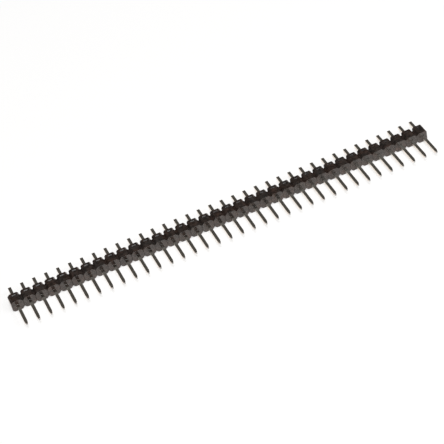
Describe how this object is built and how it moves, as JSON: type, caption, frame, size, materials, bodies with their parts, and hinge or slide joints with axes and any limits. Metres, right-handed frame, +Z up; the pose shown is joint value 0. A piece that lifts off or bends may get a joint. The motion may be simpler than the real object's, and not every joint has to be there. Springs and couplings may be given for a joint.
{
  "type": "pin header strip",
  "caption": "Single-row breakaway pin header: a row of octagonal moulded positions, each with a square metal pin pressed through it.",
  "frame": {"origin": "middle of the underside of the whole part's box: mid row, mid pin length, on the plane the strip lies on", "axes": "+X along the row of pins, +Y along the pins towards the solder tails, +Z up from the side flat the strip lies on"},
  "size_m": [0.0912, 0.0116, 0.0025],
  "materials": {
    "housing": "smooth glossy moulded thermoplastic, black",
    "pins": "bright tin plate over drawn brass, fine drawing marks"
  },
  "bodies": {
    "root": {"housing": "housing", "pin_01": "pins", "pin_02": "pins", "pin_03": "pins", "pin_04": "pins", "pin_05": "pins", "pin_06": "pins", "pin_07": "pins", "pin_08": "pins", "pin_09": "pins", "pin_10": "pins", "pin_11": "pins", "pin_12": "pins", "pin_13": "pins", "pin_14": "pins", "pin_15": "pins", "pin_16": "pins", "pin_17": "pins", "pin_18": "pins", "pin_19": "pins", "pin_20": "pins", "pin_21": "pins", "pin_22": "pins", "pin_23": "pins", "pin_24": "pins", "pin_25": "pins", "pin_26": "pins", "pin_27": "pins", "pin_28": "pins", "pin_29": "pins", "pin_30": "pins", "pin_31": "pins", "pin_32": "pins", "pin_33": "pins", "pin_34": "pins", "pin_35": "pins", "pin_36": "pins"}
  },
  "joints": []
}
